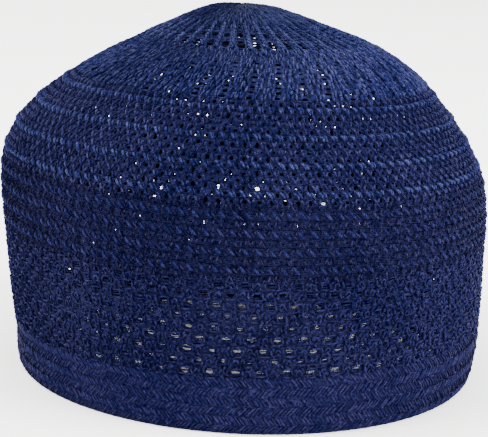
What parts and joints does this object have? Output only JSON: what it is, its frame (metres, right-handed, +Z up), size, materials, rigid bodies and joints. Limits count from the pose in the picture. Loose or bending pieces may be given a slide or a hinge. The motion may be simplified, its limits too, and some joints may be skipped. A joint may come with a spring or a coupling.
{
  "type": "kufi cap",
  "caption": "Round knitted cap with a firm rim band, a lace side wall, and a ribbed cone-shaped crown with open windows below a closed rounded tip.",
  "frame": {"origin": "on the surface that the rim rests on, under the middle of the cap's whole box", "axes": "+Z up from the rim to the tip, -Y towards the front as pictured, +X to the viewer's right"},
  "size_m": [0.1862, 0.187, 0.138],
  "materials": {
    "rim_knit": "close knit of navy nylon yarn, soft sheen",
    "lace_knit": "lace knit of navy nylon yarn, soft sheen",
    "close_knit": "close knit of navy nylon yarn, soft sheen",
    "net_knit": "net knit of navy nylon yarn, soft sheen",
    "crown_knit": "ribbed knit of navy nylon yarn, soft sheen"
  },
  "bodies": {
    "root": {"rim_band": "rim_knit", "lace_band": "lace_knit", "close_band": "close_knit", "net_band": "net_knit", "crown": "crown_knit"}
  },
  "joints": []
}
